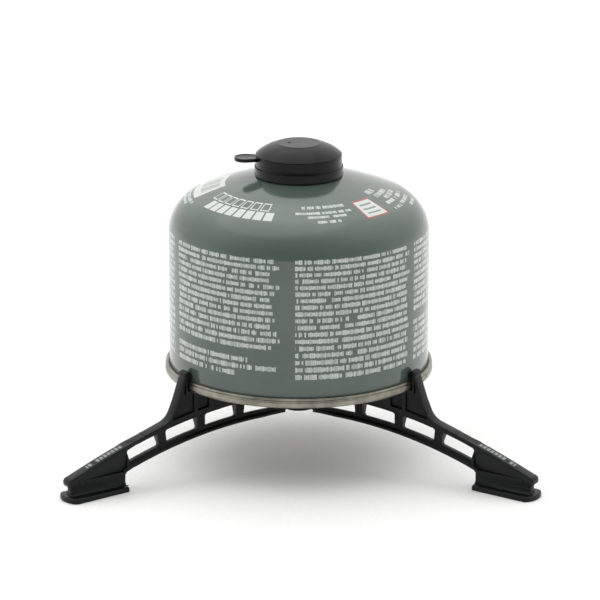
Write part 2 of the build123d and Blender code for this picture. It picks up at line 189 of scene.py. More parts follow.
# ---- Finishes -----------------------------------------------------------------------------------
@dataclass(frozen=True)
class GlassFilledNylon:
    """Injection-moulded polyamide with glass fibre.

    The fibres that lie at the skin break up its gloss, so its highlights are wide and slightly
    grainy, with faint streaks where the melt flowed along the leg.
    """
    name: str
    heading: float            # direction of the leg from +X, degrees
    marked: bool = False      # pale raised marks on top of the foot
    dark: str = "#060808"
    light: str = "#0d1010"
    mark: str = "#8b908f"
    mark_span: Point = (86.0, 102.5)
    mark_half: float = 1.15
    mark_cell: float = 1.75
    grain: float = 0.32
    rough_low: float = 0.36
    rough_high: float = 0.52

    def make(self) -> bpy.types.Material:
        """Build the material, and return it."""
        bench = Bench.begin(self.name)
        along = add_node(bench.tree, "ShaderNodeMapping",
                         {"Vector": bench.place, "Rotation": (0, 0, -radians(self.heading))})
        bench.place = along.outputs[0]
        flow = bench.cloud(5.0, 3.0, (0.25, 1.4, 1.4))
        colour = bench.blend(bench.spread(flow, 0.0, 1.0), self.dark, self.light)
        grain = bench.cloud(self.grain, 1.0)
        rough = bench.spread(flow, self.rough_low, self.rough_high)
        if self.marked:
            split = add_node(bench.tree, "ShaderNodeSeparateXYZ", {0: bench.place})
            reach, side = split.outputs[0], split.outputs[1]
            start, end = self.mark_span
            cell = bench.math("DIVIDE", reach, self.mark_cell)
            pick = add_node(bench.tree, "ShaderNodeTexWhiteNoise", {"W": bench.math("FLOOR", cell)},
                            noise_dimensions="1D").outputs["Value"]
            bars = bench.math("MULTIPLY", bench.math("COMPARE", bench.math("FRACT", cell), 0.5, 0.36),
                              bench.math("GREATER_THAN", pick, 0.08))
            middle, half = (start + end) / 2, (end - start) / 2
            band = bench.math("MULTIPLY", bench.math("COMPARE", reach, middle, half),
                              bench.math("COMPARE", side, 0.0, self.mark_half))
            facing = add_node(bench.tree, "ShaderNodeSeparateXYZ",
                              {0: add_node(bench.tree, "ShaderNodeNewGeometry").outputs["True Normal"]})
            mask = bench.math("MULTIPLY", bench.math("MULTIPLY", bars, band),
                              bench.math("GREATER_THAN", facing.outputs[2], 0.5))
            colour = bench.blend(mask, colour, self.mark)
        bench.set(Base_Color=colour, Roughness=rough, IOR=1.53, Specular_IOR_Level=0.24,
                  Normal=bench.relief(grain, 0.012))
        return bench.material


class Ink(Enum):
    """How a patch of print is filled."""
    SOLID = "solid"
    CELLS = "cells"
    HOLLOW = "hollow"
    BARS = "bars"


@dataclass(frozen=True)
class Patch:
    """A patch of print on the shoulder, in degrees round the axis and up round the shoulder's centre."""
    turn: float
    rise: float
    half_turn: float
    half_rise: float
    ink: Ink = Ink.SOLID
    cells: int = 1


@dataclass(frozen=True)
class Column:
    """A column of printed rows on the wall, from one turn to another, in degrees."""
    start: float
    end: float
    ragged: float = 1.2       # how far rows fall short of the end
    blank: tuple[int, ...] = ()
    short: tuple[tuple[int, float], ...] = ()


@dataclass(frozen=True)
class PrintedEnamel:
    """Enamel rolled on flat tinplate and baked, printed in one pale ink before the body was drawn.

    It is glossy with a slight orange peel, so soft boxes show in it as broad bands with soft
    edges. The print is plain broken bars, in columns round the wall and patches on the shoulder.
    """
    name: str
    seat: float               # height of the rim's underside, mm
    wall_radius: float
    shoulder_centre: Point    # reach, and height above the rim's underside
    dark: str = "#4a5750"
    light: str = "#505e56"
    ink: str = "#cdd3cd"
    label: str = "#c9cec8"
    border: str = "#a8443a"
    seam_turn: float = -0.85  # degrees that the print is turned from -Y
    panel: Patch = Patch(-98.0, 87.0, 18.0, 20.0)         # pale label with stripes on it
    stripes: Patch = Patch(-98.0, 90.0, 15.0, 12.0)
    sign: tuple[Patch, Patch] = (Patch(46.2, 79.0, 8.2, 19.0), Patch(46.2, 79.0, 7.3, 16.6))
    sign_bars: tuple[float, ...] = (70.0, 79.0, 88.0)     # rises of the bars in the sign
    top_row: float = 60.2
    first_pitch: float = 2.56
    pitch_growth: float = 0.0282      # added to the pitch by each row downwards
    last_row: int = 17
    cell: float = 0.74        # width of one letter's block, mm
    bar_fill: float = 3.2     # a shoulder bar's row height, in its patch's half rises
    columns: tuple[Column, ...] = (
        Column(-65.3, -7.6, 5.5, (14,), ((15, -22.5), (17, -29.0))),
        Column(-1.6, 56.6, 3.0),
        Column(60.4, 118.0, 2.0, (11,)),
        Column(122.8, 176.5, 4.0, (8,)),
        Column(-176.5, -131.5, 2.5, (12,)),
        Column(-127.5, -69.9, 1.5),
    )
    patches: tuple[Patch, ...] = (
        Patch(-43.0, 93.4, 25.0, 7.6, Ink.HOLLOW, 7),
        Patch(-38.5, 74.6, 24.5, 8.8, Ink.CELLS, 8),
        Patch(15.5, 95.5, 15.5, 2.8, Ink.BARS),
        Patch(15.5, 84.0, 17.5, 2.7, Ink.BARS),
        Patch(16.5, 75.5, 11.5, 2.7, Ink.BARS),
        Patch(16.5, 64.5, 6.5, 2.7, Ink.BARS),
        Patch(-92.0, 60.5, 17.0, 2.6, Ink.BARS),
        Patch(-94.0, 53.5, 14.0, 2.6, Ink.BARS),
        Patch(66.0, 104.0, 6.0, 3.4, Ink.BARS),
        Patch(72.0, 95.0, 9.0, 3.4, Ink.BARS),
        Patch(77.0, 86.0, 9.0, 3.4, Ink.BARS),
        Patch(67.0, 77.0, 5.0, 3.0, Ink.CELLS, 3),
        Patch(82.0, 76.0, 7.0, 3.4, Ink.BARS),
        Patch(80.0, 65.0, 8.0, 3.0, Ink.BARS),
        Patch(66.0, 63.0, 4.5, 2.6, Ink.BARS),
        Patch(84.0, 54.0, 6.0, 2.6, Ink.BARS),
        Patch(150.0, 93.4, 25.0, 7.6, Ink.HOLLOW, 7),
        Patch(154.5, 74.6, 24.5, 8.8, Ink.CELLS, 8),
    )

    def letters(self, bench: Bench, along: Socket, row: Socket, off: Socket) -> Socket:
        """Break a row of print into blocks that stand for words.

        Args:
            bench: the material.
            along: distance along the row, mm.
            row: the row's number.
            off: height from the row's middle, in rows.

        Returns:
            The ink's strength.
        """
        cell = bench.math("ADD", bench.math("DIVIDE", along, self.cell),
                          bench.math("MULTIPLY", row, 41.37))
        key = add_node(bench.tree, "ShaderNodeCombineXYZ", {0: bench.math("FLOOR", cell), 1: row})
        dice = add_node(bench.tree, "ShaderNodeTexWhiteNoise", {"Vector": key.outputs[0]},
                        noise_dimensions="2D")
        roll = add_node(bench.tree, "ShaderNodeSeparateXYZ", {0: dice.outputs["Color"]})
        present = bench.math("GREATER_THAN", roll.outputs[0], 0.13)
        ascender = bench.math("GREATER_THAN", roll.outputs[1], 0.55)
        half = bench.math("MULTIPLY_ADD", ascender, 0.08, 0.27)
        tall = bench.math("COMPARE", off, 0.0, half)
        wide = bench.math("COMPARE", bench.math("FRACT", cell), 0.5, 0.44)
        shade = bench.math("MULTIPLY_ADD", roll.outputs[2], 0.4, 0.6)
        shape = bench.math("MULTIPLY", tall, wide)
        return bench.math("MULTIPLY", bench.math("MULTIPLY", present, shape), shade)

    def wall_print(self, bench: Bench, turn: Socket, height: Socket) -> Socket:
        """Lay the columns of rows round the wall.

        Args:
            bench: the material.
            turn: degrees round the axis from -Y.
            height: height above the rim's underside, mm.

        Returns:
            The ink's strength.
        """
        fall = bench.math("SUBTRACT", self.top_row, height)
        root = bench.math("SQRT", bench.math("MAXIMUM", 0.0, bench.math(
            "MULTIPLY_ADD", fall, 2 * self.pitch_growth, self.first_pitch ** 2)))
        count = bench.math("DIVIDE", bench.math("SUBTRACT", root, self.first_pitch), self.pitch_growth)
        row = bench.math("ROUND", count)
        off = bench.math("SUBTRACT", count, row)
        along = bench.math("MULTIPLY", turn, radians(self.wall_radius))
        ragged = add_node(bench.tree, "ShaderNodeTexWhiteNoise", {"W": row},
                          noise_dimensions="1D").outputs["Value"]
        total: Socket | float = 0.0
        for column in self.columns:
            reach = bench.math("MULTIPLY_ADD", ragged, column.ragged, turn)
            inside = bench.math("MULTIPLY", bench.math("GREATER_THAN", turn, column.start),
                                bench.math("LESS_THAN", reach, column.end))
            for number in column.blank:
                inside = bench.math("MULTIPLY", inside, bench.math(
                    "SUBTRACT", 1.0, bench.math("COMPARE", row, float(number), 0.1)))
            for number, end in column.short:
                past = bench.math("MULTIPLY", bench.math("COMPARE", row, float(number), 0.1),
                                  bench.math("GREATER_THAN", turn, end))
                inside = bench.math("MULTIPLY", inside, bench.math("SUBTRACT", 1.0, past))
            total = bench.math("ADD", total, inside)
        rows = bench.math("COMPARE", row, self.last_row / 2, self.last_row / 2 + 0.1)
        field = bench.math("MULTIPLY", total, rows)
        return bench.math("MULTIPLY", field, self.letters(bench, along, row, off))

    def patch_print(self, bench: Bench, turn: Socket, rise: Socket, patch: Patch) -> Socket:
        """Lay one patch of print on the shoulder.

        Args:
            bench: the material.
            turn: degrees round the axis from -Y.
            rise: degrees up round the shoulder's centre.
            patch: the patch.

        Returns:
            The ink's strength.
        """
        inside = bench.math("MULTIPLY", bench.math("COMPARE", turn, patch.turn, patch.half_turn),
                            bench.math("COMPARE", rise, patch.rise, patch.half_rise))
        if patch.ink is Ink.SOLID:
            return inside
        if patch.ink is Ink.BARS:
            off = bench.math("DIVIDE", bench.math("SUBTRACT", rise, patch.rise),
                             self.bar_fill * patch.half_rise)
            along = bench.math("MULTIPLY", turn, radians(self.shoulder_centre[0]))
            row = bench.math("ROUND", patch.rise)
            return bench.math("MULTIPLY", inside, self.letters(bench, along, row, off))
        width = 2 * patch.half_turn / patch.cells
        begin = patch.turn - patch.half_turn
        part = bench.math("FRACT", bench.math("DIVIDE", bench.math("SUBTRACT", turn, begin), width))
        inside = bench.math("MULTIPLY", inside, bench.math("COMPARE", part, 0.5, 0.41))
        if patch.ink is Ink.CELLS:
            return inside
        core = bench.math("MULTIPLY", bench.math("COMPARE", part, 0.5, 0.31),
                          bench.math("COMPARE", rise, patch.rise, 0.74 * patch.half_rise))
        return bench.math("MULTIPLY", inside, bench.math("SUBTRACT", 1.0, core))

    def make(self) -> bpy.types.Material:
        """Build the material, and return it."""
        bench = Bench.begin(self.name)
        split = add_node(bench.tree, "ShaderNodeSeparateXYZ", {0: bench.place})
        x, y, z = split.outputs
        bearing = bench.math("ARCTAN2", x, bench.math("MULTIPLY", y, -1.0))
        turn = bench.math("MULTIPLY_ADD", bearing, 180.0 / pi, -self.seam_turn)
        height = bench.math("SUBTRACT", z, self.seat)
        reach = bench.math("SQRT", bench.math("MULTIPLY_ADD", x, x, bench.math("MULTIPLY", y, y)))
        rise = bench.math("MULTIPLY", bench.math(
            "ARCTAN2", bench.math("SUBTRACT", height, self.shoulder_centre[1]),
            bench.math("SUBTRACT", reach, self.shoulder_centre[0])), 180.0 / pi)
        ink: Socket = self.wall_print(bench, turn, height)
        for patch in self.patches:
            ink = bench.math("MAXIMUM", ink, self.patch_print(bench, turn, rise, patch))
        base = bench.blend(bench.spread(bench.cloud(18.0, 2.0), 0.0, 1.0), self.dark, self.light)
        colour = bench.blend(bench.math("MULTIPLY", ink, 0.92), base, self.ink)
        stripe = add_node(bench.tree, "ShaderNodeTexWhiteNoise",
                          {"W": bench.math("FLOOR", bench.math("MULTIPLY", turn, 1.6))},
                          noise_dimensions="1D").outputs["Value"]
        stripes = bench.math("MULTIPLY", self.patch_print(bench, turn, rise, self.stripes),
                             bench.math("GREATER_THAN", stripe, 0.5))
        colour = bench.blend(self.patch_print(bench, turn, rise, self.panel), colour, self.label)
        colour = bench.blend(bench.math("MULTIPLY", stripes, 0.85), colour, self.dark)
        for patch, tone in zip(self.sign, (self.border, self.label)):
            colour = bench.blend(self.patch_print(bench, turn, rise, patch), colour, tone)
        for level in self.sign_bars:
            bar = self.patch_print(bench, turn, rise, Patch(self.sign[0].turn, level, 5.0, 1.7))
            colour = bench.blend(bench.math("MULTIPLY", bar, 0.75), colour, self.dark)
        peel = bench.cloud(1.6, 1.0)
        raised = bench.relief(ink, 0.004)
        bench.set(Base_Color=colour, Roughness=bench.spread(ink, 0.14, 0.32, (0.0, 1.0)), IOR=1.52,
                  Coat_Weight=0.25, Coat_Roughness=0.08, Normal=bench.relief(peel, 0.006, raised))
        return bench.material


@dataclass(frozen=True)
class LacqueredTinplate:
    """Tin-coated steel sheet under a thin clear lacquer.

    The tin takes the fine lines of the rolling mill, drawn here coarse enough to show, and the
    lacquer warms it and softens the shine.
    """
    name: str
    dark: str = "#76746a"
    light: str = "#9e9c90"
    rough_low: float = 0.26
    rough_high: float = 0.4
    line: float = 0.5         # spacing of the rolling lines, mm

    def make(self) -> bpy.types.Material:
        """Build the material, and return it."""
        bench = Bench.begin(self.name)
        lines = bench.cloud(self.line, 2.0, (0.08, 0.08, 1.0))
        stain = bench.cloud(7.0, 3.0)
        colour = bench.blend(bench.spread(stain, 0.0, 1.0), self.dark, self.light)
        bench.set(Base_Color=colour, Metallic=1.0, Normal=bench.relief(lines, 0.006),
                  Roughness=bench.spread(lines, self.rough_low, self.rough_high))
        return bench.material


@dataclass(frozen=True)
class MouldedPolyethylene:
    """Injection-moulded polyethylene from a spark-eroded mould.

    A soft, waxy plastic with a fine even grain, so its highlights are broad and satin.
    """
    name: str
    dark: str = "#040504"
    light: str = "#090a08"
    grain: float = 0.4        # coarser than the mould's own, so that it shows
    rough_low: float = 0.16
    rough_high: float = 0.25

    def make(self) -> bpy.types.Material:
        """Build the material, and return it."""
        bench = Bench.begin(self.name)
        grain = bench.cloud(self.grain, 1.0)
        haze = bench.cloud(6.0, 3.0)
        colour = bench.blend(bench.spread(haze, 0.0, 1.0), self.dark, self.light)
        bench.set(Base_Color=colour, IOR=1.51, Specular_IOR_Level=0.2, Normal=bench.relief(grain, 0.008),
                  Roughness=bench.spread(haze, self.rough_low, self.rough_high))
        return bench.material


@dataclass(frozen=True)
class PlatedSteel:
    """Zinc-plated or bright-drawn steel: a cool metal with small cloudy crystals and drawn lines."""
    name: str
    dark: str = "#8d9296"
    light: str = "#c3c7c9"
    rough_low: float = 0.24
    rough_high: float = 0.42
    crystal: float = 1.2

    def make(self) -> bpy.types.Material:
        """Build the material, and return it."""
        bench = Bench.begin(self.name)
        crystal = bench.cloud(self.crystal, 4.0)
        colour = bench.blend(bench.spread(crystal, 0.0, 1.0), self.dark, self.light)
        bench.set(Base_Color=colour, Metallic=1.0, Normal=bench.relief(crystal, 0.004),
                  Roughness=bench.spread(crystal, self.rough_low, self.rough_high))
        return bench.material


@dataclass(frozen=True)
class SoftMoulding:
    """A small moulded part: acetal, nitrile rubber or seam lining.

    Its even body colour is clouded a little by dust and its skin has the fine grain of its mould.
    """
    name: str
    dark: str
    light: str
    rough: float
    index: float
    scatter: float = 0.0

    def make(self) -> bpy.types.Material:
        """Build the material, and return it."""
        bench = Bench.begin(self.name)
        dust = bench.cloud(2.5, 3.0)
        colour = bench.blend(bench.spread(dust, 0.0, 1.0), self.dark, self.light)
        bench.set(Base_Color=colour, IOR=self.index,
                  Roughness=bench.spread(dust, self.rough - 0.06, self.rough + 0.08),
                  Subsurface_Weight=self.scatter, Subsurface_Scale=0.0015,
                  Normal=bench.relief(bench.cloud(0.3, 1.0), 0.01))
        return bench.material


@dataclass(frozen=True)
class StudioFloor:
    """Matt white paper sweep with a faint tooth."""
    name: str = "white_paper"
    dark: str = "#f4f4f3"
    light: str = "#fafaf9"

    def make(self) -> bpy.types.Material:
        """Build the material, and return it."""
        bench = Bench.begin(self.name)
        tooth = bench.cloud(1.5, 2.0)
        colour = bench.blend(bench.spread(tooth, 0.0, 1.0), self.dark, self.light)
        bench.set(Base_Color=colour, Roughness=0.85, Normal=bench.relief(tooth, 0.01))
        return bench.material


# ---- Shaping: shared tools ----------------------------------------------------------------------
class Shaper:
    """Modelling steps that several pieces share, each done with Blender's own operators."""

    @staticmethod
    def clear() -> None:
        """Leave edit mode and deselect everything."""
        if bpy.context.object and bpy.context.object.mode != "OBJECT":
            bpy.ops.object.mode_set(mode="OBJECT")
        bpy.ops.object.select_all(action="DESELECT")

    @classmethod
    def hold(cls, piece: bpy.types.Object) -> None:
        """Select one object alone, in object mode, and make it the active one."""
        cls.clear()
        piece.select_set(True)
        bpy.context.view_layer.objects.active = piece

    @classmethod
    def draw(cls, name: str, points: list[Vector]) -> bpy.types.Object:
        """Draw a chain of edges through points.

        Args:
            name: the new object's name.
            points: the chain's points, in metres.

        Returns:
            The object, in edit mode, with its last point selected.
        """
        cls.clear()
        bpy.ops.mesh.primitive_plane_add(size=MM, location=(0, 0, 0))
        piece = bpy.context.object
        piece.name = name
        piece.data.name = name
        bpy.ops.object.mode_set(mode="EDIT")
        bpy.ops.mesh.select_all(action="SELECT")
        bpy.ops.mesh.merge(type="CENTER")
        bpy.ops.transform.translate(value=points[0])
        for here, there in zip(points, points[1:]):
            bpy.ops.mesh.extrude_vertices_move(TRANSFORM_OT_translate={"value": there - here})
        return piece

    @classmethod
    def lathe(cls, name: str, section: list[Point], steps: int = 128) -> bpy.types.Object:
        """Turn a half section about Z.

        Args:
            name: the new object's name.
            section: (radius, height) points in millimetres, closed if the last is the first.
            steps: facets round the axis.

        Returns:
            The object, in object mode.
        """
        piece = cls.draw(name, [Vector((r, 0, z)) * MM for r, z in section])
        bpy.ops.mesh.select_all(action="SELECT")
        bpy.ops.mesh.spin(steps=steps, angle=tau, use_auto_merge=True, center=(0, 0, 0), axis=(0, 0, 1))
        cls.settle(piece)
        return piece

    @classmethod
    def settle(cls, piece: bpy.types.Object, gap: float = 0.002) -> None:
        """Merge doubles, turn the faces outwards and go back to object mode.

        Args:
            piece: the object.
            gap: points nearer than this are one, mm.
        """
        if piece.mode != "EDIT":
            cls.hold(piece)
            bpy.ops.object.mode_set(mode="EDIT")
        bpy.ops.mesh.select_all(action="SELECT")
        bpy.ops.mesh.remove_doubles(threshold=gap * MM)
        bpy.ops.mesh.normals_make_consistent(inside=False)
        bpy.ops.object.mode_set(mode="OBJECT")

    @classmethod
    def copy_node(cls, node: str, name: str) -> bpy.types.Object:
        """Copy a node's mesh as a new piece, with its loose triangles merged.

        Args:
            node: the node's name.
            name: the new piece's name.

        Returns:
            The new object, in object mode.
        """
        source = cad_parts[node]
        piece = bpy.data.objects.new(name, source.data.copy())
        piece.data.name = name
        bpy.context.collection.objects.link(piece)
        piece.data.materials.clear()
        cls.hold(piece)
        if piece.data.has_custom_normals:
            bpy.ops.mesh.customdata_custom_splitnormals_clear()
        bpy.ops.object.mode_set(mode="EDIT")
        bpy.ops.mesh.select_all(action="SELECT")
        bpy.ops.mesh.remove_doubles(threshold=0.001 * MM)
        bpy.ops.mesh.dissolve_limited(angle_limit=radians(0.6))
        bpy.ops.object.mode_set(mode="OBJECT")
        return piece

    @classmethod
    def soften(cls, piece: bpy.types.Object, width: float, segments: int = 2, angle: float = 28.0,
               keep: Callable[[Vector], bool] | None = None) -> None:
        """Round a piece's sharp edges with a bevel, and apply it.

        Args:
            piece: the object.
            width: the bevel's width, mm.
            segments: facets across it.
            angle: edges sharper than this are rounded, degrees.
            keep: says of a point, in mm, whether an edge there stays sharp.
        """
        cls.hold(piece)
        mesh = piece.data
        bpy.ops.object.mode_set(mode="EDIT")
        bpy.ops.mesh.select_mode(type="EDGE")
        bpy.ops.mesh.select_all(action="DESELECT")
        bpy.ops.mesh.edges_select_sharp(sharpness=radians(angle))
        bpy.ops.object.mode_set(mode="OBJECT")
        sharp = [edge.index for edge in mesh.edges if edge.select]
        bpy.ops.object.mode_set(mode="EDIT")
        bpy.ops.mesh.select_mode(type="VERT")
        bpy.ops.object.mode_set(mode="OBJECT")
        weights = mesh.attributes.new("bevel_weight_edge", "FLOAT", "EDGE")
        for index in sharp:
            ends = [mesh.vertices[i].co / MM for i in mesh.edges[index].vertices]
            if not (keep and any(keep(end) for end in ends)):
                weights.data[index].value = 1.0
        bevel = piece.modifiers.new("edges", "BEVEL")
        bevel.width = width * MM
        bevel.segments = segments
        bevel.limit_method = "WEIGHT"
        bevel.use_clamp_overlap = False
        bevel.miter_outer = "MITER_ARC"
        bpy.ops.object.modifier_apply(modifier="edges")

    @classmethod
    def smooth(cls, piece: bpy.types.Object, angle: float = 30.0) -> None:
        """Shade a piece smooth, except across edges sharper than an angle in degrees."""
        cls.hold(piece)
        bpy.ops.object.shade_smooth_by_angle(angle=radians(angle))

    @classmethod
    def join(cls, main: bpy.types.Object, *others: bpy.types.Object) -> None:
        """Join other objects into a main one."""
        cls.hold(main)
        for piece in others:
            piece.select_set(True)
        bpy.ops.object.join()


def arc(centre: Point, radius: float, start: float, end: float, count: int = 8) -> list[Point]:
    """Points along an arc, its ends included.

    Args:
        centre: its centre.
        radius: its radius.
        start: angle of its first point, degrees.
        end: angle of its last point, degrees.
        count: facets along it.

    Returns:
        The points.
    """
    turns = [radians(start + (end - start) * i / count) for i in range(count + 1)]
    return [(centre[0] + radius * cos(a), centre[1] + radius * sin(a)) for a in turns]


def through(start: Point, mid: Point, end: Point, count: int = 8) -> list[Point]:
    """Points along the curve that leaves a start, passes a middle point and meets an end.

    Args:
        start: first point.
        mid: point that it passes halfway.
        end: last point.
        count: facets along it.

    Returns:
        The points, its ends included.
    """
    pull = tuple(2 * m - (a + b) / 2 for a, m, b in zip(start, mid, end))
    points = []
    for i in range(count + 1):
        t = i / count
        weights = ((1 - t) ** 2, 2 * t * (1 - t), t ** 2)
        pairs = list(zip(weights, (start, pull, end)))
        points.append(tuple(sum(weight * point[axis] for weight, point in pairs) for axis in (0, 1)))
    return points


def dress(piece: bpy.types.Object, finish: bpy.types.Material, slot: str, body: str,
          *nodes: str) -> None:
    """Give a piece its finish and its body, and let it stand for nodes.

    Args:
        piece: the object.
        finish: its material.
        slot: the record's material slot; not used.
        body: the body that it rides on.
        *nodes: the nodes that it stands for.
    """
    piece.data.materials.clear()
    piece.data.materials.append(finish)
    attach(piece, body)
    if nodes:
        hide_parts(*nodes)
    LOG.info("%s: %d faces, on %s", piece.name, len(piece.data.polygons), body)


def refinish(node: str, finish: bpy.types.Material) -> None:
    """Put a finish on a node that keeps its own shape.

    Args:
        node: the node's name.
        finish: its material.
    """
    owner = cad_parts[node]
    if not owner.material_slots:
        owner.data.materials.append(finish)
    for place in owner.material_slots:
        place.material = finish
    LOG.info("%s keeps its shape, finished in %s", node, finish.name)


# ---- Stand --------------------------------------------------------------------------------------
@dataclass
class StandLeg:
    """One moulded leg of the stand: hub ring, arched beam, hook for the rim, and foot."""
    node: str
    body: str
    heading: float
    marked: bool = False
    edge: float = 0.28        # radius that the mould leaves on its edges, mm
    joint: Point = (83.0, 88.0)   # reach where beam and foot meet, with edges close together
    joint_low: float = 6.5        # only above this height

    def crowded(self, point: Vector) -> bool:
        """Say whether a point is where the beam runs into the foot."""
        turn = radians(self.heading)
        reach = point.x * cos(turn) + point.y * sin(turn)
        return self.joint[0] < reach < self.joint[1] and point.z > self.joint_low

    def build(self) -> bpy.types.Object:
        """Make the leg from its node, with its edges rounded.

        Returns:
            The piece.
        """
        piece = Shaper.copy_node(self.node, self.node + "_moulding")
        Shaper.soften(piece, self.edge, keep=self.crowded)
        Shaper.smooth(piece, 36.0)
        finish = GlassFilledNylon(self.node + "_glass_nylon", self.heading, self.marked).make()
        dress(piece, finish, "nylon", self.body, self.node)
        return piece


@dataclass
class Hub:
    """Rivet and washer that the three legs turn on."""
    edge: float = 0.12

    def build(self) -> list[bpy.types.Object]:
        """Make the rivet and its washer.

        Returns:
            The pieces.
        """
        steel = PlatedSteel("zinc_plated_steel").make()
        pieces = []
        for node in ("hub_rivet", "rivet_washer"):
            piece = Shaper.copy_node(node, node + "_plated")
            Shaper.soften(piece, self.edge, 2, 40.0)
            Shaper.smooth(piece, 36.0)
            dress(piece, steel, "zinc_steel", "stand", node)
            pieces.append(piece)
        return pieces


# ---- Canister -----------------------------------------------------------------------------------
@dataclass
class CanisterBody:
    """Drawn body with its shoulder and cone, from the seam to the rolled mouth; mm above the seat."""
    seat: float = 36.3
    wall: float = 53.2
    sheet: float = 0.45
    hook: float = 54.05
    wall_low: float = 8.0     # the wall is straight from here up to its top
    wall_top: float = 58.5
    shoulder: float = 17.0
    sweep: float = 72.0
    neck: Point = (18.9, 81.7)
    cone_bulge: float = 0.55
    mouth: float = 15.4
    mouth_height: float = 84.3
    wire: float = 0.9

    def centre(self) -> Point:
        """Centre of the shoulder's arc: reach, and height above the seat."""
        return self.wall - self.shoulder, self.wall_top

    def cone(self, inset: float) -> list[Point]:
        """Points of the slightly convex cone from the shoulder to the neck, set in by a thickness."""
        start = arc(self.centre(), self.shoulder - inset, self.sweep, self.sweep, 1)[0]
        end = (self.neck[0], self.neck[1] - inset)
        mid = ((start[0] + end[0]) / 2, (start[1] + end[1]) / 2 + self.cone_bulge)
        return through(start, mid, end, 14)

    def section(self) -> list[Point]:
        """Half section of the sheet, as a closed chain of (radius, height) in the stand's frame."""
        inner = self.wall - self.sheet
        fold = self.hook - self.sheet + 0.05
        outside = [(inner, 0.95), *arc((self.hook - 0.3, 1.2), 0.3, -90, 0, 3)]
        outside += [(self.hook, 2.65), (fold, 2.65), (fold, 1.4)]
        outside += [(self.wall, 1.4), (self.wall, 3.4), (self.wall, self.wall_low)]
        rise = self.wall_top - self.wall_low
        outside += [(self.wall, self.wall_low + rise * i / 6) for i in range(1, 6)]
        outside += arc(self.centre(), self.shoulder, 0, self.sweep, 20) + self.cone(0)[1:]
        outside += [(self.mouth + 0.5, self.neck[1] + 0.9)]
        outside += arc((self.mouth, self.mouth_height), self.wire - 0.01, -52, 250, 16)
        inside = [(self.mouth, self.neck[1] + 0.5)] + list(reversed(self.cone(self.sheet)))
        inside += arc(self.centre(), self.shoulder - self.sheet, self.sweep, 0, 20)[1:]
        chain = outside + inside + [(inner, self.wall_low), outside[0]]
        return [(r, h + self.seat) for r, h in chain]

    def build(self) -> bpy.types.Object:
        """Turn the body and print it.

        Returns:
            The piece.
        """
        piece = Shaper.lathe("canister_body", self.section(), 192)
        Shaper.smooth(piece, 40.0)
        enamel = PrintedEnamel("baked_enamel", self.seat, self.wall, self.centre()).make()
        dress(piece, enamel, "enamel", "canister", "canister_shell")
        lining = SoftMoulding("seam_lining", "#5f5a48", "#77705a", 0.6, 1.5).make()
        refinish("seam_compound", lining)
        return piece


@dataclass
class CanisterBase:
    """Concave end, curled round the body's hook to make the rim; mm above the seat."""
    seat: float = 36.3
    rim: float = 55.0
    height: float = 4.0
    wall: float = 53.2
    sheet: float = 0.45
    dome_height: float = 12.0
    sphere: float = 225.0
    dome_edge: float = 49.0
    rings: tuple[float, ...] = (16.0, 34.0)   # shallow stiffening steps pressed in the dome
    step: float = 0.22

    def dome(self, radius: float) -> Point:
        """Point of the dome's underside at a radius, with the steps that the pressed rings leave."""
        drop = sum(self.step * min(1.0, max(0.0, (radius - ring) / 1.2)) for ring in self.rings)
        height = self.dome_height - self.sphere + sqrt(self.sphere ** 2 - radius ** 2)
        return radius, height + drop * 0.5 * (radius / self.dome_edge)

    def section(self) -> list[Point]:
        """Half section of the end, as a closed chain of (radius, height) in the stand's frame."""
        chuck = self.wall - self.sheet - 0.1
        inner = chuck - self.sheet
        steps = [ring + part for ring in self.rings for part in (0.0, 0.6, 1.2)]
        radii = sorted([0.0, 4, 8, 12, 15, 20, 24, 28, 32, 38, 42, 46, self.dome_edge, *steps])
        under = [self.dome(r) for r in radii]
        under += through(under[-1], (51.4, 5.6), (inner, 3.6), 6)[1:]
        under += arc((inner + 0.5, 0.5), 0.5, 180, 270, 5)
        under += arc((self.rim - 0.8, 0.8), 0.8, -90, 0, 6)
        under += [(self.rim - 0.02, 1.8), (self.rim - 0.05, 2.45)]
        rim, wall, top = self.rim, self.wall, self.height
        under += through((rim - 0.12, 2.6), (rim - 0.55, 2.88), (rim - 0.34, 3.16), 6)
        under += through((rim - 0.28, 3.3), (rim - 0.36, 3.86), (rim - 0.85, top), 6)
        under += [(wall + 0.4, top), (wall + 0.1, top - 0.2), (wall + 0.03, 3.3)]
        over = [(wall + 0.03, 3.0), (wall + 0.95, 2.85), (wall + 0.95, 0.78), (chuck, 0.78), (chuck, 3.7)]
        brink = (self.dome_edge, self.dome(self.dome_edge)[1] + self.sheet)
        over += through((chuck, 3.8), (51.8, 6.05), brink, 6)
        over += [(r, self.dome(r)[1] + self.sheet) for r in reversed(radii[:-1])]
        return [(r, h + self.seat) for r, h in under + over]

    def build(self) -> bpy.types.Object:
        """Turn the end and its rim.

        Returns:
            The piece.
        """
        piece = Shaper.lathe("canister_rim", self.section(), 192)
        Shaper.smooth(piece, 45.0)
        tinplate = LacqueredTinplate("lacquered_tinplate").make()
        dress(piece, tinplate, "tinplate", "canister", "canister_base")
        return piece


